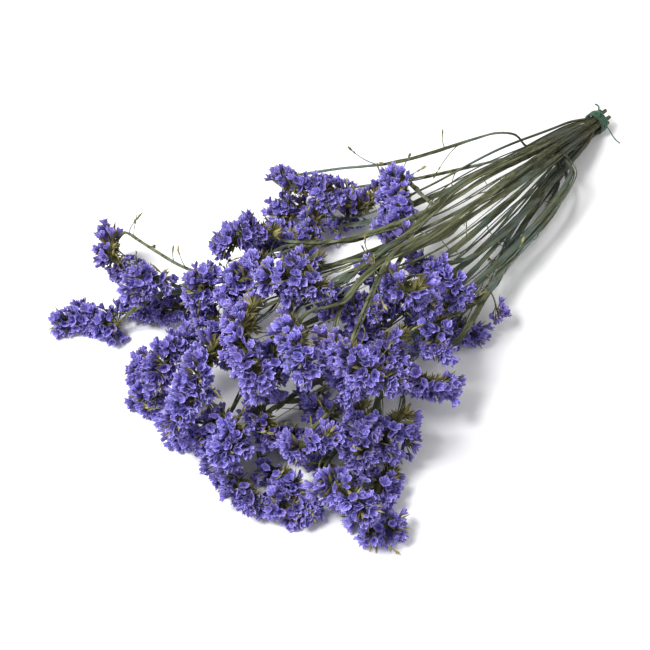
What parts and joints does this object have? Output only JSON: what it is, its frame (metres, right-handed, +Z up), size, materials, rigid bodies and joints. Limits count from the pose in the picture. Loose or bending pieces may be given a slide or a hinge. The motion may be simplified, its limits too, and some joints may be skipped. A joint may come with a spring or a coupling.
{
  "type": "dried statice bunch",
  "caption": "Tied bunch of dried violet statice lying on its side, with winged green stems and one-sided spikes of papery calyces.",
  "frame": {"origin": "middle of the bunch's box, on the surface it lies on", "axes": "+Z up from the surface, +X along the bunch from the flowers to the tie, +Y to the left of that"},
  "size_m": [0.6253, 0.4211, 0.1447],
  "materials": {
    "stem": "matt",
    "calyx": "matt",
    "tie": "matt"
  },
  "bodies": {
    "root": {"stem_arm": "stem", "stem_left": "stem", "stem_crest": "stem", "stem_low": "stem", "stem_sweep": "stem", "stem_under": "stem", "stem_fall": "stem", "stem_heart": "stem", "stem_drop": "stem", "stem_high": "stem", "stem_ridge": "stem", "stem_flank": "stem", "stem_rear": "stem", "bloom_arm_tip": "calyx", "bloom_arm_mid": "calyx", "bloom_arm_knob": "calyx", "bloom_arm_twig": "calyx", "bloom_arm_face": "calyx", "bloom_left_big": "calyx", "bloom_left_front": "calyx", "bloom_left_crown": "calyx", "bloom_left_low": "calyx", "bloom_crest_comb": "calyx", "bloom_crest_cup": "calyx", "bloom_crest_dome": "calyx", "bloom_crest_bar": "calyx", "bloom_low_pad": "calyx", "bloom_low_hook": "calyx", "bloom_low_long": "calyx", "bloom_low_foot": "calyx", "bloom_sweep_mid": "calyx", "bloom_sweep_root": "calyx", "bloom_sweep_tip": "calyx", "bloom_under_smile": "calyx", "bloom_under_ball": "calyx", "bloom_fall_brow": "calyx", "bloom_fall_cheek": "calyx", "bloom_fall_chin": "calyx", "bloom_fall_side": "calyx", "bloom_heart_curl": "calyx", "bloom_heart_bloom": "calyx", "bloom_heart_fan": "calyx", "bloom_drop_body": "calyx", "bloom_drop_shelf": "calyx", "bloom_drop_edge": "calyx", "bloom_high_knot": "calyx", "bloom_high_tip": "calyx", "bloom_high_row": "calyx", "bloom_high_plume": "calyx", "bloom_ridge_blaze": "calyx", "bloom_ridge_mane": "calyx", "bloom_ridge_twin": "calyx", "bloom_ridge_moon": "calyx", "bloom_flank_flame": "calyx", "bloom_flank_saddle": "calyx", "bloom_flank_wing": "calyx", "bloom_rear_skirt": "calyx", "bloom_rear_cluster": "calyx", "bloom_rear_cap": "calyx", "tie": "tie"}
  },
  "joints": []
}
